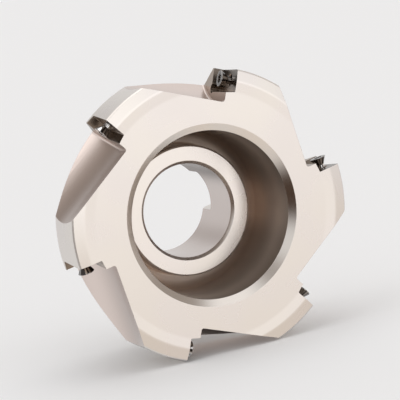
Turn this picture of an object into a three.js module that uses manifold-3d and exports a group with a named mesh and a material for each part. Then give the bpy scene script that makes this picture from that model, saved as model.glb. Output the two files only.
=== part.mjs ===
// Right-hand indexable shell face mill, 100 mm cutting diameter class, 32 mm arbor bore, six teeth.
// The body is one turned and milled piece of plated steel. Each of its six insert pockets is open
// and holds its countersunk insert screw. The spindle axis is Y, the cutting face looks along -Y,
// +Z is up, and the origin is the centre of the body's box. The mill stands on two of its teeth.
import * as THREE from "three";
import { mergeVertices } from "three/addons/utils/BufferGeometryUtils.js";
import Module from "manifold-3d";

// ---------------------------------------------------------------- driving dimensions, millimetres
const TEETH = 6;
const BORE_R = 16; // 32 mm arbor bore
const BODY_R = 48.8; // body outside radius, 1.2 mm inside the 50 mm cutting radius
const BODY_LENGTH = 48.5; // crest of the cutting face to arbor seat
const BAND_LENGTH = 17.5; // length of the cylindrical band that carries the teeth
const HUB_R = 35; // rear hub
const TAPER = rad(38); // half angle of the cone between band and hub
const COUNTERBORE_R = 28; // room for the head of the arbor's lock screw
const COUNTERBORE_DEPTH = 33; // floor of the ring groove round the hub boss
const MOUTH_R = 30.3; // chamfered mouth of the counterbore
const MOUTH_DEPTH = 1.7;
const BOSS_R = 22.3; // boss whose face takes the lock screw's head
const BOSS_DEPTH = 21.7; // boss face, like every depth from the cutting face's crest
const FACE_R = 41.2; // flat part of the cutting face
const FACE_DEPTH = 0.12; // it lies this far behind the crest of the raised rim
const CREST_R = 44.8;
const RIM_DEPTH = 0.75; // from the crest the rim falls away to the outside
const KEYWAY_WIDTH = 14.4; // drive keyway across the arbor seat
const KEYWAY_DEPTH = 8;
const EDGE = 1; // bore and hub edge chamfers
const GROOVE_BOSS_FILLET = 1; // groove floor to boss
const GROOVE_WALL_FILLET = 4.5; // groove floor to counterbore wall

// Teeth: azimuths run anticlockwise seen from the cutting side, from +X
const FIRST_TOOTH = rad(9.4); // stands the mill level on two teeth
const AXIAL_RAKE = rad(5); // the seat leads at the cutting face
const RADIAL_RAKE = rad(1.5); // seat turned from the radius, about its outer edge
const KEYWAY_ANGLE = FIRST_TOOTH + rad(2);

// Insert pocket, in the seat's own frame: X outwards, Y rearwards, Z off the seat
const POCKET_X = 41.2; // inner wall
const POCKET_Y = 15.7; // rear wall
const POCKET_DEPTH = 3.2;
const WALL_RELIEF = Math.tan(rad(9)); // walls lean out to match the insert's flanks
const CORNER_RELIEF_R = 1.6; // drilled clearance for the insert's corner
const CORNER_RELIEF_X = 41.9;
const CORNER_RELIEF_Y = 15.6;
const CORNER_RELIEF_SINK = 0.25; // its flat bottom lies this far below the seat

// Chip gullet, a channel milled square to the seat, in the same frame
const GULLET_FLOOR_X = 37.34; // the floor where it meets the crest's plane
const GULLET_SLOPE = rad(7.75); // there the floor deepens towards the rear
const GULLET_TURN_Y = 2.55; // from here it is one wide arc
const GULLET_TURN_R = 30;
const GULLET_TURN_END = rad(75); // the arc is followed this far, past the rear taper
const GULLET_FILLET = 0.8; // milling cutter's corner radius
const GULLET_LENGTH = 50; // past the outside of the body

// Insert screw, M3.5 countersunk with a hexalobular socket, in the same frame
const SCREW_X = 45.2;
const SCREW_Y = 7.4;
const SCREW_STAND = 3.8; // top of the head above the seat
const SCREW_LENGTH = 10;
const HEAD_R = 2.7;
const HEAD_RIM = 0.2;
const HEAD_CONE = rad(30); // half angle
const NECK_R = 1.35;
const THREAD_R = 1.75;
const THREAD_LENGTH = 4.8;
const TIP = 0.4;
const SOCKET_R = 1.44; // mean radius of the six-lobed socket
const SOCKET_LOBE = 0.23;
const SOCKET_DEPTH = 1.3;
const HOLE_R = 1.85; // tapped hole, left plain
const HOLE_DEPTH = 9.5;
const HOLE_MOUTH = 0.3; // countersink at the seat
const DRILL_POINT = rad(31); // slope of the hole's drilled bottom

// ---------------------------------------------------------------- mesh density
const BODY_SEGMENTS = 72;
const SCREW_SEGMENTS = 24;
const FILLET_SEGMENTS = 4;
const GULLET_SEGMENTS = 14;

function rad(degrees) {
  return THREE.MathUtils.degToRad(degrees);
}

// ---------------------------------------------------------------- solids
const wasm = await Module();
wasm.setup();

function solid(geometry) {
  const bare = geometry.index ? geometry.toNonIndexed() : geometry.clone();
  bare.deleteAttribute("normal");
  bare.deleteAttribute("uv");
  const merged = mergeVertices(bare, 1e-4);
  return new wasm.Manifold(
    new wasm.Mesh({
      numProp: 3,
      vertProperties: merged.attributes.position.array,
      triVerts: new Uint32Array(merged.index.array),
    }),
  );
}

function geometryOf(manifold) {
  const mesh = manifold.getMesh();
  const geometry = new THREE.BufferGeometry();
  geometry.setAttribute("position", new THREE.BufferAttribute(mesh.vertProperties, 3));
  geometry.setIndex(new THREE.BufferAttribute(mesh.triVerts, 1));
  geometry.computeVertexNormals();
  return geometry;
}

// ---------------------------------------------------------------- frames
const FRONT_Y = -BODY_LENGTH / 2;
const REAR_Y = BODY_LENGTH / 2;

// Seat frame of tooth k: origin on the crest's plane, X outwards along the seat,
// Y rearwards along the seat, Z square off the seat.
function seatFrame(k) {
  const azimuth = FIRST_TOOTH + (k * 2 * Math.PI) / TEETH;
  const turn = new THREE.Matrix4().makeRotationY(-(azimuth + RADIAL_RAKE));
  const shift = new THREE.Matrix4().makeTranslation(0, FRONT_Y, -BODY_R * Math.sin(RADIAL_RAKE));
  const tilt = new THREE.Matrix4().makeRotationX(-AXIAL_RAKE);
  return turn.multiply(shift).multiply(tilt);
}

// ---------------------------------------------------------------- cutter body
// Turned section: radius against distance behind the crest of the cutting face.
function turnedBody() {
  const taperEnd = BAND_LENGTH + (BODY_R - HUB_R) / Math.tan(TAPER);
  const bossFillet = [BOSS_R + GROOVE_BOSS_FILLET, COUNTERBORE_DEPTH - GROOVE_BOSS_FILLET];
  const wallFillet = [COUNTERBORE_R - GROOVE_WALL_FILLET, COUNTERBORE_DEPTH - GROOVE_WALL_FILLET];
  const section = new THREE.Path();
  section.moveTo(BORE_R, BOSS_DEPTH + EDGE);
  section.lineTo(BORE_R + EDGE, BOSS_DEPTH);
  section.lineTo(BOSS_R - EDGE / 2, BOSS_DEPTH);
  section.lineTo(BOSS_R, BOSS_DEPTH + EDGE / 2);
  section.absarc(...bossFillet, GROOVE_BOSS_FILLET, Math.PI, Math.PI / 2, true);
  section.absarc(...wallFillet, GROOVE_WALL_FILLET, Math.PI / 2, 0, true);
  section.lineTo(COUNTERBORE_R, FACE_DEPTH + MOUTH_DEPTH);
  section.lineTo(MOUTH_R, FACE_DEPTH);
  section.lineTo(FACE_R, FACE_DEPTH);
  section.lineTo(CREST_R, 0);
  section.lineTo(BODY_R, RIM_DEPTH);
  section.lineTo(BODY_R, BAND_LENGTH);
  section.lineTo(HUB_R, taperEnd);
  section.lineTo(HUB_R, BODY_LENGTH - EDGE);
  section.lineTo(HUB_R - EDGE, BODY_LENGTH);
  section.lineTo(BORE_R + EDGE, BODY_LENGTH);
  section.lineTo(BORE_R, BODY_LENGTH - EDGE);
  section.lineTo(BORE_R, BOSS_DEPTH + EDGE);
  const points = section.getPoints(FILLET_SEGMENTS);
  return solid(new THREE.LatheGeometry(points, BODY_SEGMENTS).translate(0, FRONT_Y, 0));
}

function keyway() {
  const box = new THREE.BoxGeometry(3 * HUB_R, 2 * KEYWAY_DEPTH, KEYWAY_WIDTH);
  return solid(box.translate(0, REAR_Y, 0).rotateY(-KEYWAY_ANGLE));
}

// The pocket's rectangle is open at the face and at the outside; a shear leans its two walls.
function pocketCutter() {
  const past = 3;
  const outer = BODY_R + past;
  const outline = new THREE.Shape();
  outline.moveTo(POCKET_X, -past);
  outline.lineTo(outer, -past);
  outline.lineTo(outer, POCKET_Y);
  outline.lineTo(POCKET_X, POCKET_Y);
  const block = new THREE.ExtrudeGeometry(outline, {
    depth: POCKET_DEPTH + past,
    bevelEnabled: false,
  });
  const lean = new THREE.Matrix4().set(
    1, 0, -WALL_RELIEF, 0,
    0, 1, WALL_RELIEF, 0,
    0, 0, 1, 0,
    0, 0, 0, 1,
  );
  return block.applyMatrix4(lean);
}

// A round hole whose axis is the seat's Z, from a lathe profile of radius against height.
function roundCutter(profile, x, y) {
  const points = profile.map(([r, z]) => new THREE.Vector2(r, z));
  const turned = new THREE.LatheGeometry(points, SCREW_SEGMENTS).rotateX(Math.PI / 2);
  return turned.translate(x, y, 0);
}

function cornerReliefCutter() {
  const profile = [
    [0, -CORNER_RELIEF_SINK],
    [CORNER_RELIEF_R, -CORNER_RELIEF_SINK],
    [CORNER_RELIEF_R, 2 * POCKET_DEPTH],
    [0, 2 * POCKET_DEPTH],
  ];
  return roundCutter(profile, CORNER_RELIEF_X, CORNER_RELIEF_Y);
}

function screwHoleCutter() {
  const profile = [
    [0, -HOLE_DEPTH - HOLE_R * Math.tan(DRILL_POINT)],
    [HOLE_R, -HOLE_DEPTH],
    [HOLE_R, -HOLE_MOUTH],
    [HOLE_R + 2 * HOLE_MOUTH, HOLE_MOUTH],
    [0, HOLE_MOUTH],
  ];
  return roundCutter(profile, SCREW_X, SCREW_Y);
}

// Floor line from the cutting face, then one wide arc out through the rear taper.
function gulletCutter() {
  const startY = -8; // still in front of the cutting face at the channel's far end
  const outerX = BODY_R + 12;
  const slope = Math.tan(GULLET_SLOPE);
  const centreX = GULLET_FLOOR_X - GULLET_TURN_Y * slope + GULLET_TURN_R * Math.cos(GULLET_SLOPE);
  const centreY = GULLET_TURN_Y + GULLET_TURN_R * Math.sin(GULLET_SLOPE);
  const turn = [Math.PI - GULLET_TURN_END, Math.PI + GULLET_SLOPE];
  const outline = new THREE.Shape();
  outline.moveTo(outerX, startY);
  outline.lineTo(outerX, centreY + GULLET_TURN_R * Math.sin(GULLET_TURN_END));
  outline.absarc(centreX, centreY, GULLET_TURN_R, turn[0], turn[1], false);
  outline.lineTo(GULLET_FLOOR_X - startY * slope, startY);
  const channel = new THREE.ExtrudeGeometry(outline, {
    depth: GULLET_LENGTH,
    curveSegments: GULLET_SEGMENTS,
    bevelThickness: GULLET_FILLET,
    bevelSize: GULLET_FILLET,
    bevelOffset: -GULLET_FILLET,
    bevelSegments: 2,
  });
  return channel.translate(0, 0, POCKET_DEPTH + GULLET_FILLET);
}

function cutterBody() {
  let body = turnedBody().subtract(keyway());
  const cutters = [pocketCutter(), cornerReliefCutter(), screwHoleCutter(), gulletCutter()];
  for (let k = 0; k < TEETH; k++) {
    for (const cutter of cutters) {
      body = body.subtract(solid(cutter.clone().applyMatrix4(seatFrame(k))));
    }
  }
  return geometryOf(body);
}

// ---------------------------------------------------------------- insert screw
// Axis along the seat's Z, head outwards, heights measured from the seat.
function insertScrew() {
  const coneBottom = SCREW_STAND - HEAD_RIM - (HEAD_R - NECK_R) / Math.tan(HEAD_CONE);
  const tipZ = SCREW_STAND - SCREW_LENGTH;
  const profile = [
    [0, tipZ],
    [THREAD_R - TIP, tipZ],
    [THREAD_R, tipZ + TIP],
    [THREAD_R, tipZ + THREAD_LENGTH - TIP],
    [NECK_R, tipZ + THREAD_LENGTH],
    [NECK_R, coneBottom],
    [HEAD_R, SCREW_STAND - HEAD_RIM],
    [HEAD_R, SCREW_STAND],
    [0, SCREW_STAND],
  ];
  const blank = solid(roundCutter(profile, 0, 0));
  return geometryOf(blank.subtract(solid(socketCutter())));
}

function socketCutter() {
  const points = [];
  const count = 6 * 6;
  for (let i = 0; i < count; i++) {
    const angle = (i * 2 * Math.PI) / count;
    const r = SOCKET_R + SOCKET_LOBE * Math.cos(6 * angle);
    points.push(new THREE.Vector2(r * Math.cos(angle), r * Math.sin(angle)));
  }
  const socket = new THREE.ExtrudeGeometry(new THREE.Shape(points), {
    depth: 2 * SOCKET_DEPTH,
    bevelEnabled: false,
  });
  return socket.translate(0, 0, SCREW_STAND - SOCKET_DEPTH);
}

// ---------------------------------------------------------------- assembly
const platedSteel = new THREE.MeshStandardMaterial({
  name: "plated_steel",
  color: 0xd9cec6,
  metalness: 0.9,
  roughness: 0.38,
});
const screwSteel = new THREE.MeshStandardMaterial({
  name: "screw_steel",
  color: 0x8d8a88,
  metalness: 1,
  roughness: 0.2,
});

const mill = new THREE.Group();

const body = new THREE.Mesh(cutterBody(), platedSteel);
body.name = "cutter_body";
mill.add(body);

const screwGeometry = insertScrew();
for (let k = 0; k < TEETH; k++) {
  const seat = new THREE.Group();
  seat.applyMatrix4(seatFrame(k));
  const screw = new THREE.Mesh(screwGeometry, screwSteel);
  screw.name = `insert_screw_${k + 1}`;
  screw.position.set(SCREW_X, SCREW_Y, 0);
  seat.add(screw);
  mill.add(seat);
}

export default mill;
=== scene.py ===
"""Looks of a right-hand indexable shell face mill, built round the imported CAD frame.

The body and the six insert screws are rebuilt as fine meshes on the CAD's own dimensions. Shapes are made in
millimetres, spindle axis Y, cutting face towards -Y, +Z up, and scaled to metres when a piece is finished.
"""
import math

import bmesh
import bpy
from mathutils import Matrix, Vector


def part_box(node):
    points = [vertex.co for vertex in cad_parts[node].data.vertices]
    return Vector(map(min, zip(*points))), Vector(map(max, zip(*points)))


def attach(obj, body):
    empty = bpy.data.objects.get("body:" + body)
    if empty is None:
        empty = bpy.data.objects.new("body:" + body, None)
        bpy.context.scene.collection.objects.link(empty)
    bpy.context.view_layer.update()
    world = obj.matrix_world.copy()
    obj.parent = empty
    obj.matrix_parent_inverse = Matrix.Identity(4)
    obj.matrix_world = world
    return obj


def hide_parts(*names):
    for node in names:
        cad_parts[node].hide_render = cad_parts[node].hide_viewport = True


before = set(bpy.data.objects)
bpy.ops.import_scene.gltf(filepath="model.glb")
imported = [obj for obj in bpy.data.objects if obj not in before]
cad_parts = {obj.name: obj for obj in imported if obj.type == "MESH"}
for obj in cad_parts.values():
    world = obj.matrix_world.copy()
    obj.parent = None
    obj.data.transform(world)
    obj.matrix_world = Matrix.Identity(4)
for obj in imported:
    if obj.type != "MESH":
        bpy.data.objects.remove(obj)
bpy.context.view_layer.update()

MM = 0.001
BODY_LOW, BODY_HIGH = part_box("cutter_body")

# ------------------------------------------------------------------ dimensions of the mill, millimetres
TEETH = 6
BODY_R = BODY_HIGH.x / MM
BODY_LENGTH = (BODY_HIGH.y - BODY_LOW.y) / MM
FRONT_Y = BODY_LOW.y / MM
REAR_Y = BODY_HIGH.y / MM

BORE_R = 16.0
BAND_LENGTH = 17.5
HUB_R = 35.0
TAPER = math.radians(38)
COUNTERBORE_R = 28.0
COUNTERBORE_DEPTH = 33.0
GROOVE_WALL_FILLET = 4.5
GROOVE_BOSS_FILLET = 1.0
MOUTH_R = 30.3
MOUTH_DEPTH = 1.7
BOSS_R = 22.3
BOSS_DEPTH = 21.7
FACE_R = 41.2
FACE_DEPTH = 0.12
CREST_R = 44.8
RIM_DEPTH = 0.75
KEYWAY_WIDTH = 14.4
KEYWAY_DEPTH = 8.0
KEYWAY_FILLET = 0.5
EDGE = 1.0  # chamfers of the bore, the boss and the hub
FINE_BREAK = 0.12  # rounding of the turned corners
TAPER_BREAK = 0.3
HUB_FILLET = 1.2
FACE_BLEND = 25.0  # radii of the faint swell from the cutting face to its raised rim
CREST_BLEND = 4.5
LIP = 0.45  # chamfer of the outside front edge
LIP_BREAK = 0.05

FIRST_TOOTH = math.radians(9.4)
AXIAL_RAKE = math.radians(5)
RADIAL_RAKE = math.radians(1.5)
KEYWAY_ANGLE = FIRST_TOOTH + math.radians(2)

POCKET_X = 41.2
POCKET_Y = 15.7
POCKET_DEPTH = 3.2
POCKET_FILLET = 0.25
WALL_RELIEF = math.tan(math.radians(9))
CORNER_RELIEF_R = 1.6
CORNER_RELIEF_X = 41.9
CORNER_RELIEF_Y = 15.6
CORNER_RELIEF_SINK = 0.25

GULLET_FLOOR_X = 37.34
GULLET_SLOPE = math.radians(7.75)
GULLET_TURN_Y = 2.55
GULLET_TURN_R = 30.0
GULLET_TURN_END = math.radians(75)
GULLET_FILLET = 0.8
GULLET_LENGTH = 50.0
GULLET_START_Y = -8.0
GULLET_OUTER_X = BODY_R + 12
PAST = 3.0  # how far the pocket and keyway cutters reach past the body

SCREW_X = 45.2
SCREW_Y = 7.4
SCREW_STAND = 3.8
SCREW_LENGTH = 10.0
HEAD_R = 2.7
HEAD_RIM = 0.2
HEAD_CONE = math.radians(30)
RIM_ROUND = 0.08
RIM_BULGE = 0.3  # share of RIM_ROUND left at the middle of the round
NECK_R = 1.35
NECK_FILLET = 0.5
NECK_RUN = 0.15
THREAD_R = 1.75
THREAD_ROOT_R = 1.4
THREAD_PITCH = 0.6
THREAD_LENGTH = 4.8
THREAD_CREST = 1.25  # the crest is flat for 2 * (this - 1) / THREAD_FLANK of a pitch
THREAD_FLANK = 2.9
TIP = 0.4
SOCKET_R = 1.44
SOCKET_LOBES = 6
SOCKET_LOBE = 0.23
SOCKET_DEPTH = 1.3
SOCKET_CHAMFER = 0.12
SOCKET_CRISP = 0.05  # size of the narrow rings that keep the socket's edges crisp
SOCKET_TUCK = 0.03
SOCKET_FLAT_R = 0.3
SOCKET_POINT = 0.12
HOLE_R = 1.85
HOLE_DEPTH = 9.5
HOLE_MOUTH = 0.3
DRILL_POINT = math.radians(31)

# ------------------------------------------------------------------ mesh density
BODY_SEGMENTS = 288
SCREW_SEGMENTS = 72
HOLE_SEGMENTS = 48
FILLET_STEPS = 5
ARC_STEPS = 24
THREAD_STEPS = 12  # rings in one pitch of the thread
BODY_CREASE = math.radians(22)
SCREW_CREASE = math.radians(35)


# ------------------------------------------------------------------ mesh helpers
def new_object(name, vertices, faces, material):
    mesh = bpy.data.meshes.new(name)
    mesh.from_pydata(vertices, [], faces)
    mesh.update()
    mesh.materials.append(material)
    made = bpy.data.objects.new(name, mesh)
    bpy.context.scene.collection.objects.link(made)
    return made


def rounded(corners):
    """A closed 2D outline from (x, y, fillet radius) corners, each fillet an arc tangent to both sides."""
    outline = []
    count = len(corners)
    for i, (x, y, radius) in enumerate(corners):
        here = Vector((x, y))
        before = (Vector(corners[i - 1][:2]) - here).normalized()
        after = (Vector(corners[(i + 1) % count][:2]) - here).normalized()
        if radius <= 0:
            outline.append(here)
            continue
        half = before.angle(after) / 2
        centre = here + (before + after).normalized() * (radius / math.sin(half))
        first = here + before * (radius / math.tan(half)) - centre
        sweep = (math.pi - 2 * half) * (1 if before.cross(after) < 0 else -1)
        for step in range(FILLET_STEPS + 1):
            outline.append(centre + Matrix.Rotation(sweep * step / FILLET_STEPS, 2) @ first)
    return outline


def turned(name, outline, material):
    """A closed outline of (radius, y) points turned about the Y axis."""
    count = len(outline)
    vertices = []
    for i in range(BODY_SEGMENTS):
        angle = 2 * math.pi * i / BODY_SEGMENTS
        vertices += [(p.x * math.cos(angle), p.y, p.x * math.sin(angle)) for p in outline]
    faces = []
    for i in range(BODY_SEGMENTS):
        here, there = i * count, (i + 1) % BODY_SEGMENTS * count
        for j in range(count):
            k = (j + 1) % count
            faces.append((here + j, here + k, there + k, there + j))
    return new_object(name, vertices, faces, material)


def inset(outline, distance):
    """The outline, anticlockwise, moved inwards by a distance."""
    least_cosine = 0.2
    moved = []
    for i, here in enumerate(outline):
        before = (here - outline[i - 1]).normalized()
        after = (outline[(i + 1) % len(outline)] - here).normalized()
        normal = Vector((-before.y - after.y, before.x + after.x)).normalized()
        cosine = normal.dot(Vector((-before.y, before.x)))
        moved.append(here + normal * (distance / max(least_cosine, cosine)))
    return moved


def prism(name, outline, bottom, top, fillet, lean, material, bottom_material=None):
    """The outline extruded from bottom to top with a rounded foot.

    Its sides lean by (x, y) for each unit of height. The bottom face may have a material of its own.
    """
    count = len(outline)
    layers = []
    for step in range(FILLET_STEPS + 1 if fillet > 0 else 1):
        angle = math.pi / 2 * step / FILLET_STEPS
        layers.append((fillet * (1 - math.cos(angle)), fillet * (1 - math.sin(angle))))
    layers.append((top - bottom, 0))
    vertices = []
    for height, distance in layers:
        for p in inset(outline, distance):
            vertices.append((p.x + lean[0] * height, p.y + lean[1] * height, bottom + height))
    faces = [tuple(reversed(range(count)))]
    for layer in range(len(layers) - 1):
        for i in range(count):
            j = (i + 1) % count
            low, high = layer * count, (layer + 1) * count
            faces.append((low + i, low + j, high + j, high + i))
    faces.append(tuple(range(len(vertices) - count, len(vertices))))
    piece = new_object(name, vertices, faces, material)
    if bottom_material:
        piece.data.materials.append(bottom_material)
        piece.data.polygons[0].material_index = 1
    return piece


def round_hole(name, profile, x, y, material):
    """A closed hole cutter along Z from (radius, z) pairs, the first and the last on the axis."""
    vertices = [(x, y, profile[0][1])]
    for radius, z in profile[1:-1]:
        for i in range(HOLE_SEGMENTS):
            angle = 2 * math.pi * i / HOLE_SEGMENTS
            vertices.append((x + radius * math.cos(angle), y + radius * math.sin(angle), z))
    vertices.append((x, y, profile[-1][1]))
    last = len(vertices) - 1
    faces = []
    for i in range(HOLE_SEGMENTS):
        j = (i + 1) % HOLE_SEGMENTS
        faces.append((0, 1 + j, 1 + i))
        for ring in range(len(profile) - 3):
            low, high = 1 + ring * HOLE_SEGMENTS, 1 + (ring + 1) * HOLE_SEGMENTS
            faces.append((low + i, low + j, high + j, high + i))
        faces.append((last, last - HOLE_SEGMENTS + i, last - HOLE_SEGMENTS + j))
    return new_object(name, vertices, faces, material)


def store_seat_place(piece):
    """Keeps each point's place along the seat, in millimetres, for the materials of milled faces."""
    layer = piece.data.uv_layers.new(name="seat")
    for loop in piece.data.loops:
        place = piece.data.vertices[loop.vertex_index].co
        layer.data[loop.index].uv = (place.x, place.y)


def face_outwards(piece):
    """Turns every face of a closed mesh to look outwards."""
    shape = bmesh.new()
    shape.from_mesh(piece.data)
    bmesh.ops.recalc_face_normals(shape, faces=shape.faces)
    shape.to_mesh(piece.data)
    shape.free()


def seat_frame(k):
    """Seat frame of tooth k: X outwards along the seat, Y rearwards along it, Z square off it."""
    azimuth = FIRST_TOOTH + k * 2 * math.pi / TEETH
    turn = Matrix.Rotation(-(azimuth + RADIAL_RAKE), 4, "Y")
    shift = Matrix.Translation((0, FRONT_Y, -BODY_R * math.sin(RADIAL_RAKE)))
    return turn @ shift @ Matrix.Rotation(-AXIAL_RAKE, 4, "X")


def apply_modifiers(piece):
    """Replaces the piece's mesh by what its modifiers make of it."""
    evaluated = piece.evaluated_get(bpy.context.evaluated_depsgraph_get())
    mesh = bpy.data.meshes.new_from_object(evaluated)
    piece.modifiers.clear()
    old = piece.data
    piece.data = mesh
    bpy.data.meshes.remove(old)


def shade(piece, angle):
    """Smooth faces, with edges sharper than the angle kept crisp."""
    for polygon in piece.data.polygons:
        polygon.use_smooth = True
    shape = bmesh.new()
    shape.from_mesh(piece.data)
    for edge in shape.edges:
        edge.smooth = len(edge.link_faces) == 2 and edge.calc_face_angle(0) <= angle
    shape.to_mesh(piece.data)
    shape.free()


# ------------------------------------------------------------------ node helpers
class Nodes:
    """Writes a node tree: a value given to an input is either a number, a colour or another node's output."""

    def __init__(self, tree):
        self.tree = tree
        tree.nodes.clear()

    def new(self, kind, inputs=None, **settings):
        node = self.tree.nodes.new(kind)
        for name, value in settings.items():
            setattr(node, name, value)
        for name, value in (inputs or {}).items():
            self.feed(node.inputs[name], value)
        return node

    def feed(self, socket, value):
        if isinstance(value, bpy.types.NodeSocket):
            self.tree.links.new(value, socket)
        else:
            socket.default_value = value

    def math(self, operation, *values):
        node = self.new("ShaderNodeMath", operation=operation)
        for socket, value in zip(node.inputs, values):
            self.feed(socket, value)
        return node.outputs[0]

    def vector(self, operation, *values):
        node = self.new("ShaderNodeVectorMath", operation=operation)
        for socket, value in zip(node.inputs, values):
            self.feed(socket, value)
        return node

    def smooth(self, value, low, high, start=0.0, end=1.0):
        """Smooth step from start to end as the value goes from low to high."""
        inputs = {"Value": value, "From Min": low, "From Max": high, "To Min": start, "To Max": end}
        return self.new("ShaderNodeMapRange", inputs, interpolation_type="SMOOTHSTEP").outputs[0]

    def mix(self, factor, first, second, blend="MIX"):
        """The first colour towards the second by a factor."""
        colour_a, colour_b, colour_out = 6, 7, 2  # a mix node's colour sockets share their names with others
        node = self.new("ShaderNodeMix", data_type="RGBA", blend_type=blend)
        self.feed(node.inputs["Factor"], factor)
        self.feed(node.inputs[colour_a], first)
        self.feed(node.inputs[colour_b], second)
        return node.outputs[colour_out]

    def noise(self, vector, scale, detail, roughness=0.5):
        inputs = {"Vector": vector, "Scale": scale, "Detail": detail, "Roughness": roughness}
        return self.new("ShaderNodeTexNoise", inputs).outputs["Fac"]

    def place(self):
        """Object X, Y and Z in metres."""
        place = self.new("ShaderNodeTexCoord").outputs["Object"]
        return self.new("ShaderNodeSeparateXYZ", {"Vector": place}).outputs

    def degrees(self, operation, *values):
        return self.math("MULTIPLY", self.math(operation, *values), 180 / math.pi)

    def surface(self, kind, inputs, output="ShaderNodeOutputMaterial"):
        """Makes a shader and links it to the tree's output."""
        shader = self.new(kind, inputs)
        self.new(output, {"Surface": shader.outputs[0]})


def new_material(name):
    """An empty material and the writer of its nodes."""
    material = bpy.data.materials.new(name)
    material.use_nodes = True
    return material, Nodes(material.node_tree)


# ------------------------------------------------------------------ materials
NICKEL = (0.725, 0.675, 0.63, 1)
NICKEL_MAUVE = (0.72, 0.67, 0.64, 1)
# A lighter, mauve copy of the nickel for the outside band: painted reflection of cool light from behind the
# mill.
BAND_NICKEL_PAINTED_LIGHT = (0.80, 0.71, 0.77, 1)
# A darker, warmer copy of the nickel for the gullets: painted shade of their hollows.
CHANNEL_NICKEL_PAINTED_SHADE = (0.72, 0.62, 0.575, 1)
# A darker copy of the nickel for the bore: painted shade of its hollow.
BORE_NICKEL_PAINTED_SHADE = (0.60, 0.53, 0.50, 1)
# Dark brown of the counterbore, browner at its mouth: painted shade of the hollow.
COUNTERBORE_PAINTED_SHADE = (0.42, 0.345, 0.29, 1)
COUNTERBORE_DEEP_PAINTED_SHADE = (0.42, 0.365, 0.325, 1)
# Dark browns of the gullets' end walls, the pockets and the screw holes: painted shade in these recesses.
WALL_PAINTED_SHADE = (0.36, 0.29, 0.25, 1)
POCKET_PAINTED_SHADE = (0.33, 0.265, 0.215, 1)
HOLE_PAINTED_SHADE = (0.12, 0.10, 0.085, 1)
SCREW_DARK = (0.05, 0.043, 0.04, 1)
# Painted sheen and painted glint of the screws, picked by the reflected direction.
SCREW_PAINTED_SHEEN = (0.58, 0.555, 0.54, 1)
SCREW_PAINTED_GLINT = (1.0, 0.98, 0.96, 1)
EDGE_RADIUS = 0.14  # rounding of the body's machined edges
EDGE_COSINES = (0.98, 0.75)  # rounded against true normal, from plain face to full edge
CLOUD_SCALE = 0.05  # slow drift of tone and roughness over the body, cycles per millimetre
CLOUD_RANGE = (0.35, 0.65)
CLOUD_GAIN = 0.08
# Fine turned surfaces that the plating has all but levelled.
FINE_TURNED = {"marks": "turned", "mark_height": 0.00005, "grain_gain": 0.01, "grain_scale": 0.7}


def tinted(n, colour, light):
    """The colour times a grey level."""
    grey = n.new("ShaderNodeCombineColor", {"Red": light, "Green": light, "Blue": light}).outputs[0]
    return n.mix(1.0, colour, grey, "MULTIPLY")


def depth_step(n, y, near, far, start=0.0, end=1.0):
    """Smooth step from start to end between two depths behind the cutting face, in millimetres."""
    return n.smooth(y, (FRONT_Y + near) * MM, (FRONT_Y + far) * MM, start, end)


def channel_painted_light(n):
    """Painted shade and light along a gullet: darker at its front, lighter towards its rear."""
    place = n.new("ShaderNodeUVMap", uv_map="seat").outputs[0]
    along = n.new("ShaderNodeSeparateXYZ", {"Vector": place}).outputs["Y"]
    return n.smooth(along, 5, 22, 0.70, 1.10)


def counterbore_painted_light(n):
    """Painted light and shade round the counterbore.

    A painted highlight streak stands at its right. Its left and its depths are painted lighter, its top and its
    mouth painted darker.
    """
    painted_streak_angle = math.radians(-6)
    lightest = 2.1
    x, y, z = n.place()
    angle = n.math("ARCTAN2", z, x)
    from_painted_streak = n.math("ABSOLUTE", n.math("SUBTRACT", angle, painted_streak_angle))
    light = n.smooth(from_painted_streak, math.radians(26), math.radians(2), 1.0, 1.5)
    others = (
        n.smooth(n.math("SINE", angle), -0.6, 0.6, 1.0, 0.90),
        n.smooth(n.math("COSINE", angle), 0.3, -0.6, 1.0, 1.2),
        depth_step(n, y, 1, 12, 0.60, 1.0),
        depth_step(n, y, 12, 26, 1.0, 1.55),
    )
    for factor in others:
        light = n.math("MULTIPLY", light, factor)
    return n.math("MINIMUM", light, lightest)


def counterbore_tone(n):
    """The deep part of the counterbore is less brown than its mouth."""
    _, y, _ = n.place()
    return depth_step(n, y, 4, 20)


def plated_painted_light(n):
    """Painted light: the recessed boss face, and the plated body deeper than it, is a little brighter than the
    cutting face, most of all on the right.
    """
    x, y, _ = n.place()
    gain = n.smooth(x, 13 * MM, 20 * MM, 0.05, 0.35)
    return n.math("MULTIPLY_ADD", depth_step(n, y, 15, 20), gain, 1.0)


def chamfer_painted_light(n):
    """Painted light and shade round the mouth's chamfer: lighter at its upper left, darker at its lower left.
    """
    upper_left, lower_left = 152, -136
    x, _, z = n.place()
    angle = n.degrees("ARCTAN2", z, x)
    from_upper = n.math("ABSOLUTE", n.math("SUBTRACT", angle, upper_left))
    from_lower = n.math("ABSOLUTE", n.math("SUBTRACT", angle, lower_left))
    # Painted light at the upper left, painted shade at the lower left.
    lighter = n.smooth(from_upper, 40, 12, 0, 0.37)
    duller = n.smooth(from_lower, 42, 20, 0, 0.25)
    return n.math("ADD", n.math("SUBTRACT", lighter, duller), 1.0)


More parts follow.
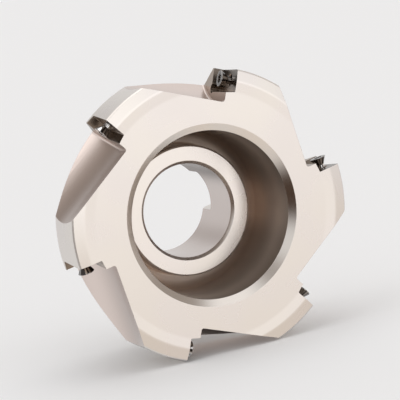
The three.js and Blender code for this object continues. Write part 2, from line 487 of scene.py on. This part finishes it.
def metal(name, colour, tone, roughness, marks, mark_height, edge_highlight_gain=0.15, grain_gain=0.06, grain_scale=3.0,
          painted_light_of=None, tone_of=None):
    """Steel whose colour drifts towards a second tone.

    marks is "turned" for rings about the spindle, or "milled" for an even satin grain, and mark_height is their
    height in millimetres. The edge gain lightens edges in the colour: a painted highlight along them. The light
    function paints light and shade from place to place, and tone_of the share of the second tone.
    """
    material, n = new_material(name)
    position = n.vector("SCALE", n.new("ShaderNodeTexCoord").outputs["Object"])
    position.inputs["Scale"].default_value = 1 / MM
    position = position.outputs[0]
    x, y, z = n.new("ShaderNodeSeparateXYZ", {"Vector": position}).outputs
    radius = n.math("SQRT", n.math("ADD", n.math("MULTIPLY", x, x), n.math("MULTIPLY", z, z)))
    rings = n.new("ShaderNodeCombineXYZ", {"X": radius, "Y": y, "Z": 0.0}).outputs[0]
    grain = n.noise(rings if marks == "turned" else position, grain_scale, 3.0, 0.6)
    cloud = n.noise(position, CLOUD_SCALE, 1.0)
    speck = n.noise(position, grain_scale, 1.0)

    rounded_normal = n.new("ShaderNodeBevel", {"Radius": EDGE_RADIUS * MM}, samples=4).outputs[0]
    bump_inputs = {"Strength": 1.0, "Distance": mark_height * MM, "Height": grain, "Normal": rounded_normal}
    bump = n.new("ShaderNodeBump", bump_inputs)
    true_normal = n.new("ShaderNodeNewGeometry").outputs["Normal"]
    edge = n.vector("DOT_PRODUCT", rounded_normal, true_normal).outputs["Value"]
    edge = n.smooth(edge, *EDGE_COSINES)

    share = tone_of(n) if tone_of else n.smooth(cloud, *CLOUD_RANGE)
    base = n.mix(share, colour, tone)
    light = n.math("MULTIPLY_ADD", n.math("SUBTRACT", speck, 0.5), grain_gain / 2, 1.0)
    # Painted highlight: edges lightened in the colour.
    light = n.math("MULTIPLY_ADD", edge, edge_highlight_gain, light)
    # Painted light and shade from place to place.
    if painted_light_of:
        light = n.math("MULTIPLY", light, painted_light_of(n))
    rough = n.math("MULTIPLY_ADD", n.math("SUBTRACT", cloud, 0.5), CLOUD_GAIN, roughness)
    rough = n.math("MULTIPLY_ADD", n.math("SUBTRACT", grain, 0.5), grain_gain, rough)
    n.surface("ShaderNodeBsdfPrincipled", {
        "Base Color": tinted(n, base, light),
        "Metallic": 1.0,
        "Roughness": rough,
        "Normal": bump.outputs[0],
    })
    return material


def screw_metal():
    """Dark polished steel with painted reflections.

    Its colour follows the reflected direction: a painted sheen and painted glints stand in for the reflections
    on the real screw's small curved faces.
    """
    material, n = new_material("screw_steel")
    coordinates = n.new("ShaderNodeTexCoord")
    x, _, z = n.new("ShaderNodeSeparateXYZ", {"Vector": coordinates.outputs["Reflection"]}).outputs
    across = n.math("SINE", n.math("MULTIPLY_ADD", x, 7.0, 1.0))
    up = n.math("SINE", n.math("MULTIPLY_ADD", z, 6.0, 2.0))
    painted_glint_pattern = n.math("MULTIPLY", across, up)
    # Painted reflections: a grey sheen, then bright glints.
    base = n.mix(n.smooth(painted_glint_pattern, -0.3, 0.45), SCREW_DARK, SCREW_PAINTED_SHEEN)
    base = n.mix(n.smooth(painted_glint_pattern, 0.6, 0.85), base, SCREW_PAINTED_GLINT)
    grime = n.noise(coordinates.outputs["Object"], 900.0, 3.0, 0.6)
    base = tinted(n, base, n.math("MULTIPLY_ADD", grime, 0.3, 0.85))
    rough = n.math("MULTIPLY_ADD", grime, 0.12, 0.10)
    n.surface("ShaderNodeBsdfPrincipled", {"Base Color": base, "Metallic": 1.0, "Roughness": rough})
    return material


def body_metals():
    """The materials of the body's surfaces, with their painted light and shade."""
    return {
        "plated": metal("plated_turned", NICKEL, NICKEL_MAUVE, 0.27, **FINE_TURNED, painted_light_of=plated_painted_light),
        "band": metal("plated_band", BAND_NICKEL_PAINTED_LIGHT, BAND_NICKEL_PAINTED_LIGHT, 0.27, **FINE_TURNED),
        "chamfer": metal("mouth_chamfer", NICKEL, NICKEL, 0.20, **FINE_TURNED, painted_light_of=chamfer_painted_light),
        "bore": metal("bore_turned", BORE_NICKEL_PAINTED_SHADE, BORE_NICKEL_PAINTED_SHADE, 0.25, "turned", 0.001),
        "counterbore": metal("counterbore_turned", COUNTERBORE_PAINTED_SHADE, COUNTERBORE_DEEP_PAINTED_SHADE, 0.55, "turned", 0.002,
                             painted_light_of=counterbore_painted_light, tone_of=counterbore_tone),
        "gullet": metal("plated_milled", CHANNEL_NICKEL_PAINTED_SHADE, CHANNEL_NICKEL_PAINTED_SHADE, 0.30, "milled", 0.0005,
                        grain_gain=0.03, grain_scale=1.0, painted_light_of=channel_painted_light),
        "keyway": metal("keyway_milled", NICKEL, NICKEL_MAUVE, 0.30, "milled", 0.001),
        "wall": metal("wall_milled", WALL_PAINTED_SHADE, POCKET_PAINTED_SHADE, 0.30, "milled", 0.001, edge_highlight_gain=0.4),
        "pocket": metal("pocket_painted_shade", POCKET_PAINTED_SHADE, HOLE_PAINTED_SHADE, 0.24, "milled", 0.002, edge_highlight_gain=0.6),
        "hole": metal("hole_painted_shade", HOLE_PAINTED_SHADE, POCKET_PAINTED_SHADE, 0.35, "milled", 0.003),
    }


# ------------------------------------------------------------------ cutter body
def turned_outline():
    """Section of the turned body as (radius, y) points."""
    taper_end = BAND_LENGTH + (BODY_R - HUB_R) / math.tan(TAPER)
    lip_depth = RIM_DEPTH * (1 - LIP / (BODY_R - CREST_R))
    corners = [
        (BORE_R, BOSS_DEPTH + EDGE, FINE_BREAK),
        (BORE_R + EDGE, BOSS_DEPTH, FINE_BREAK),
        (BOSS_R - EDGE / 2, BOSS_DEPTH, FINE_BREAK),
        (BOSS_R, BOSS_DEPTH + EDGE / 2, FINE_BREAK),
        (BOSS_R, COUNTERBORE_DEPTH, GROOVE_BOSS_FILLET),
        (COUNTERBORE_R, COUNTERBORE_DEPTH, GROOVE_WALL_FILLET),
        (COUNTERBORE_R, FACE_DEPTH + MOUTH_DEPTH, FINE_BREAK),
        (MOUTH_R, FACE_DEPTH, FINE_BREAK),
        (FACE_R, FACE_DEPTH, FACE_BLEND),
        (CREST_R, 0, CREST_BLEND),
        (BODY_R - LIP, lip_depth, LIP_BREAK),
        (BODY_R, RIM_DEPTH + LIP, LIP_BREAK),
        (BODY_R, BAND_LENGTH, TAPER_BREAK),
        (HUB_R, taper_end, HUB_FILLET),
        (HUB_R, BODY_LENGTH - EDGE, FINE_BREAK),
        (HUB_R - EDGE, BODY_LENGTH, FINE_BREAK),
        (BORE_R + EDGE, BODY_LENGTH, FINE_BREAK),
        (BORE_R, BODY_LENGTH - EDGE, FINE_BREAK),
    ]
    return [Vector((p.x, FRONT_Y + p.y)) for p in rounded(corners)]


def gullet_outline():
    """Floor line from the cutting face, then one wide arc that runs out through the rear taper."""
    slope = math.tan(GULLET_SLOPE)
    centre = Vector((
        GULLET_FLOOR_X - GULLET_TURN_Y * slope + GULLET_TURN_R * math.cos(GULLET_SLOPE),
        GULLET_TURN_Y + GULLET_TURN_R * math.sin(GULLET_SLOPE),
    ))
    arc = []
    for step in range(ARC_STEPS + 1):
        angle = GULLET_TURN_END - (GULLET_TURN_END + GULLET_SLOPE) * step / ARC_STEPS
        arc.append(centre + GULLET_TURN_R * Vector((-math.cos(angle), math.sin(angle))))
    floor_end = Vector((GULLET_FLOOR_X - GULLET_START_Y * slope, GULLET_START_Y))
    return [Vector((GULLET_OUTER_X, GULLET_START_Y)), Vector((GULLET_OUTER_X, arc[0].y)), *arc, floor_end]


def tooth_cutters(k, finish_and_painted_light):
    """What is milled and drilled away for one tooth."""
    outer = BODY_R + PAST
    pocket = [
        Vector((POCKET_X, -PAST)),
        Vector((outer, -PAST)),
        Vector((outer, POCKET_Y)),
        Vector((POCKET_X, POCKET_Y)),
    ]
    hole = [
        (0, -HOLE_DEPTH - HOLE_R * math.tan(DRILL_POINT)),
        (HOLE_R, -HOLE_DEPTH),
        (HOLE_R, -HOLE_MOUTH),
        (HOLE_R + 2 * HOLE_MOUTH, HOLE_MOUTH),
        (0, HOLE_MOUTH),
    ]
    relief = [
        (0, -CORNER_RELIEF_SINK),
        (CORNER_RELIEF_R, -CORNER_RELIEF_SINK),
        (CORNER_RELIEF_R, 2 * POCKET_DEPTH),
        (0, 2 * POCKET_DEPTH),
    ]
    gullet_top = POCKET_DEPTH + GULLET_LENGTH
    pocket_lean = (-WALL_RELIEF, WALL_RELIEF)
    cutters = [
        prism("gullet", gullet_outline(), POCKET_DEPTH, gullet_top, GULLET_FILLET, (0, 0), finish_and_painted_light["gullet"],
              finish_and_painted_light["wall"]),
        prism("pocket", pocket, 0, POCKET_DEPTH + PAST, POCKET_FILLET, pocket_lean, finish_and_painted_light["pocket"]),
        round_hole("relief", relief, CORNER_RELIEF_X, CORNER_RELIEF_Y, finish_and_painted_light["pocket"]),
        round_hole("hole", hole, SCREW_X, SCREW_Y, finish_and_painted_light["hole"]),
    ]
    for cutter in cutters:
        store_seat_place(cutter)
        cutter.data.transform(seat_frame(k))
    return cutters


def keyway_cutter(material):
    """A long block across the rear of the hub, with rounded bottom corners."""
    half = KEYWAY_WIDTH / 2
    reach = 1.5 * HUB_R
    outline = rounded([
        (-half, REAR_Y + PAST, 0),
        (-half, REAR_Y - KEYWAY_DEPTH, KEYWAY_FILLET),
        (half, REAR_Y - KEYWAY_DEPTH, KEYWAY_FILLET),
        (half, REAR_Y + PAST, 0),
    ])
    cutter = prism("keyway", outline, -reach, reach, 0, (0, 0), material)
    store_seat_place(cutter)
    # The prism stands along Z with its outline in X and Y: lay it along X, then turn it to the keyway.
    cutter.data.transform(Matrix.Rotation(-KEYWAY_ANGLE + math.pi / 2, 4, "Y"))
    return cutter


def colour_turned_faces(body, finish_and_painted_light):
    """Bore, counterbore, its mouth's chamfer and the outside band have materials of their own, with painted
    light and shade.
    """
    near = 0.1
    wall_start = FACE_DEPTH + MOUTH_DEPTH
    slots = {}
    for name in ("bore", "counterbore", "band", "chamfer"):
        slots[name] = len(body.data.materials)
        body.data.materials.append(finish_and_painted_light[name])
    for face in body.data.polygons:
        centre = face.center
        radius = math.hypot(centre.x, centre.z)
        depth = centre.y - FRONT_Y
        if radius < BORE_R + near:
            face.material_index = slots["bore"]
        elif wall_start < depth < COUNTERBORE_DEPTH + near:
            if BOSS_R - near < radius < COUNTERBORE_R + near:
                face.material_index = slots["counterbore"]
        elif radius > BODY_R - near:
            face.material_index = slots["band"]
        elif depth < wall_start and COUNTERBORE_R < radius < MOUTH_R:
            face.material_index = slots["chamfer"]


def cut_away(body, cutters):
    """Cuts all the cutters out of the body in one exact boolean, each leaving its own material behind."""
    group = bpy.data.collections.new("cutters")
    for cutter in cutters:
        face_outwards(cutter)
        bpy.context.scene.collection.objects.unlink(cutter)
        group.objects.link(cutter)
    bpy.context.scene.collection.children.link(group)

    cut = body.modifiers.new("cut", "BOOLEAN")
    cut.operation = "DIFFERENCE"
    cut.solver = "EXACT"
    cut.operand_type = "COLLECTION"
    cut.collection = group
    cut.material_mode = "TRANSFER"
    apply_modifiers(body)
    for cutter in cutters:
        bpy.data.objects.remove(cutter)
    bpy.data.collections.remove(group)


def cutter_body():
    """The turned blank with its keyway, pockets, gullets and screw holes cut."""
    finish_and_painted_light = body_metals()
    body = turned("face_mill_body", turned_outline(), finish_and_painted_light["plated"])
    store_seat_place(body)
    colour_turned_faces(body, finish_and_painted_light)
    face_outwards(body)
    cutters = [keyway_cutter(finish_and_painted_light["keyway"])]
    for k in range(TEETH):
        cutters += tooth_cutters(k, finish_and_painted_light)
    cut_away(body, cutters)

    body.data.transform(Matrix.Scale(MM, 4))
    shade(body, BODY_CREASE)
    normals = body.modifiers.new("normals", "WEIGHTED_NORMAL")
    normals.keep_sharp = True
    apply_modifiers(body)
    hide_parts("cutter_body")
    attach(body, "cutter")


# ------------------------------------------------------------------ insert screw
def screw_rings():
    """(radius, z, kind) rings of the screw from its tip up, over the head's rim and down into the socket.

    A lobed ring's radius is what it adds to the socket's mean radius.
    """
    tip_z = SCREW_STAND - SCREW_LENGTH
    thread_top = tip_z + THREAD_LENGTH
    rim_z = SCREW_STAND - HEAD_RIM
    cone_bottom = rim_z - (HEAD_R - NECK_R) / math.tan(HEAD_CONE)
    socket_floor = SCREW_STAND - SOCKET_DEPTH
    rings = [(THREAD_ROOT_R - TIP, tip_z, "plain")]
    count = round(THREAD_LENGTH / THREAD_PITCH * THREAD_STEPS)
    for i in range(count + 1):
        rings.append((THREAD_ROOT_R, tip_z + TIP + (THREAD_LENGTH - TIP) * i / count, "thread"))
    rings.append((NECK_R, thread_top + NECK_RUN, "plain"))
    neck = rounded([(NECK_R, thread_top, 0), (NECK_R, cone_bottom, NECK_FILLET), (HEAD_R, rim_z, 0)])
    rings += [(p.x, p.y, "plain") for p in neck[1:-1]]
    crisp = 0.02
    bulge = RIM_BULGE * RIM_ROUND
    head = (
        (HEAD_R - crisp, rim_z - 2 * crisp),
        (HEAD_R, rim_z),
        (HEAD_R, SCREW_STAND - RIM_ROUND),
        (HEAD_R - bulge, SCREW_STAND - bulge),
        (HEAD_R - RIM_ROUND, SCREW_STAND),
        (HEAD_R - 2 * RIM_ROUND, SCREW_STAND),
    )
    rings += [(radius, z, "plain") for radius, z in head]
    socket = (
        (SOCKET_CHAMFER + SOCKET_CRISP, SCREW_STAND),
        (SOCKET_CHAMFER, SCREW_STAND),
        (0, SCREW_STAND - SOCKET_CHAMFER),
        (0, SCREW_STAND - SOCKET_CHAMFER - SOCKET_CRISP),
        (0, socket_floor + SOCKET_CRISP),
        (-SOCKET_TUCK, socket_floor),
    )
    rings += [(extra, z, "lobed") for extra, z in socket]
    rings.append((SOCKET_FLAT_R, socket_floor - SOCKET_POINT, "plain"))
    return rings


def ring_radius(radius, z, kind, angle):
    """Radius of a ring at an angle: the socket's lobes, the thread's flanks, or just the ring's own."""
    if kind == "lobed":
        return SOCKET_R + radius + SOCKET_LOBE * math.cos(SOCKET_LOBES * angle)
    if kind == "thread":
        tip_z = SCREW_STAND - SCREW_LENGTH
        phase = (z / THREAD_PITCH - angle / (2 * math.pi)) % 1
        crest = min(1, max(0, THREAD_CREST - THREAD_FLANK * abs(phase - 0.5)))
        runout = min(1, (z - tip_z - TIP) / THREAD_PITCH, (tip_z + THREAD_LENGTH - z) / THREAD_PITCH)
        return radius + (THREAD_R - radius) * crest * max(0, runout)
    return radius


def insert_screw(k, material):
    """One closed skin from the tip to the bottom of the socket, stood in the pocket of tooth k."""
    rings = screw_rings()
    vertices = []
    for radius, z, kind in rings:
        for i in range(SCREW_SEGMENTS):
            angle = 2 * math.pi * i / SCREW_SEGMENTS
            r = ring_radius(radius, z, kind, angle)
            vertices.append((r * math.cos(angle), r * math.sin(angle), z))
    faces = []
    for ring in range(len(rings) - 1):
        low, high = ring * SCREW_SEGMENTS, (ring + 1) * SCREW_SEGMENTS
        for i in range(SCREW_SEGMENTS):
            j = (i + 1) % SCREW_SEGMENTS
            faces.append((low + i, low + j, high + j, high + i))
    faces.append(tuple(reversed(range(SCREW_SEGMENTS))))
    faces.append(tuple(range(len(vertices) - SCREW_SEGMENTS, len(vertices))))
    screw = new_object(f"fine_screw_{k + 1}", vertices, faces, material)
    screw.data.transform(Matrix.Scale(MM, 4) @ seat_frame(k) @ Matrix.Translation((SCREW_X, SCREW_Y, 0)))
    face_outwards(screw)
    shade(screw, SCREW_CREASE)
    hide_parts(f"insert_screw_{k + 1}")
    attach(screw, f"screw_{k + 1}")


# ------------------------------------------------------------------ studio
FLOOR_TONE = (0.88, 0.88, 0.885, 1)
FLOOR_R = 5.0  # metres
FLOOR_SEGMENTS = 96
BACKDROP = (0.86, 0.86, 0.865, 1)
TENT = (0.86, 0.86, 0.86, 1)
# Light and dark zones of the tent: azimuth and elevation of each one's centre, its half width and half height,
# its soft edges across and up, all in degrees, and its radiance. Azimuth 0 is behind the mill (+Y), 90 to its
# right (+X).
ZONES = {
    "overhead": (0, 90, 180, 24, 1, 8, (1.60, 1.60, 1.60)),
    "front_floor": (165, -40, 60, 32, 12, 4, (0.92, 0.85, 0.78)),
    "front_wall": (171, 5, 30, 13, 22, 9, (1.58, 1.58, 1.58)),
    "front_high": (150, 56, 28, 13, 10, 6, (1.12, 1.11, 1.10)),
    "upper_front": (-152, 46, 16, 10, 10, 8, (0.42, 0.39, 0.37)),
    "right_gap": (94, 1, 24, 38, 6, 6, (0.74, 0.67, 0.62)),
    "right_high": (100, 34, 18, 20, 6, 5, (0.56, 0.50, 0.45)),
    "left_gap": (-129, -12, 30, 20, 14, 10, (0.07, 0.04, 0.025)),
    "upper_left_gap": (-35, 42, 32, 18, 12, 12, (0.33, 0.29, 0.26)),
    "upper_left_panel": (-103, 55, 30, 18, 12, 10, (1.42, 1.41, 1.40)),
    "under_back": (20, -48, 28, 26, 12, 10, (0.015, 0.011, 0.009)),
}

CAMERA_LENS = 180  # millimetres
CAMERA_SENSOR = 36
CAMERA_PLACE = Vector((-0.241359, -0.6291002, 0.0964496))  # metres
CAMERA_FORWARD = Vector((0.3621, 0.9219, -0.1379))
CAMERA_UP = Vector((0.2006, 0.0674, 0.9773))


def studio_world():
    """The tent lights the mill and is mirrored in it. The camera sees a plain backdrop instead."""
    world = bpy.data.worlds.new("studio")
    bpy.context.scene.world = world
    world.use_nodes = True
    n = Nodes(world.node_tree)
    direction = n.new("ShaderNodeTexCoord").outputs["Generated"]
    x, y, z = n.new("ShaderNodeSeparateXYZ", {"Vector": direction}).outputs
    azimuth = n.degrees("ARCTAN2", x, y)
    elevation = n.degrees("ARCSINE", z)
    light = n.new("ShaderNodeRGB").outputs[0]
    light.default_value = TENT
    for centre, height, half_width, half_height, edge_across, edge_up, radiance in ZONES.values():
        across = n.math("ABSOLUTE", n.math("WRAP", n.math("SUBTRACT", azimuth, centre), 180, -180))
        up = n.math("ABSOLUTE", n.math("SUBTRACT", elevation, height))
        mask = n.math(
            "MULTIPLY",
            n.smooth(across, half_width + edge_across, half_width - edge_across),
            n.smooth(up, half_height + edge_up, half_height - edge_up),
        )
        light = n.mix(mask, light, (*radiance, 1))
    is_camera = n.new("ShaderNodeLightPath").outputs["Is Camera Ray"]
    seen = n.mix(is_camera, light, BACKDROP)
    n.surface("ShaderNodeBackground", {"Color": seen, "Strength": 1.0}, "ShaderNodeOutputWorld")


def studio_floor():
    """Pale paper to the horizon, hidden from reflections: the tent alone gives the mill those."""
    material, n = new_material("floor_paper")
    n.surface("ShaderNodeBsdfDiffuse", {"Color": FLOOR_TONE})
    angles = [2 * math.pi * i / FLOOR_SEGMENTS for i in range(FLOOR_SEGMENTS)]
    rim = [(FLOOR_R * math.cos(a), FLOOR_R * math.sin(a), BODY_LOW.z) for a in angles]
    floor = new_object("floor", rim, [tuple(range(FLOOR_SEGMENTS))], material)
    floor.visible_glossy = False


def camera():
    data = bpy.data.cameras.new("camera")
    data.lens = CAMERA_LENS
    data.sensor_width = CAMERA_SENSOR
    made = bpy.data.objects.new("camera", data)
    bpy.context.scene.collection.objects.link(made)
    forward = CAMERA_FORWARD.normalized()
    right = forward.cross(CAMERA_UP.normalized()).normalized()
    up = right.cross(forward)
    made.matrix_world = Matrix((
        (right.x, up.x, -forward.x, CAMERA_PLACE.x),
        (right.y, up.y, -forward.y, CAMERA_PLACE.y),
        (right.z, up.z, -forward.z, CAMERA_PLACE.z),
        (0, 0, 0, 1),
    ))
    bpy.context.scene.camera = made


cutter_body()
screw_steel = screw_metal()
for index in range(TEETH):
    insert_screw(index, screw_steel)
studio_world()
studio_floor()
camera()
bpy.context.scene.view_settings.view_transform = "Standard"
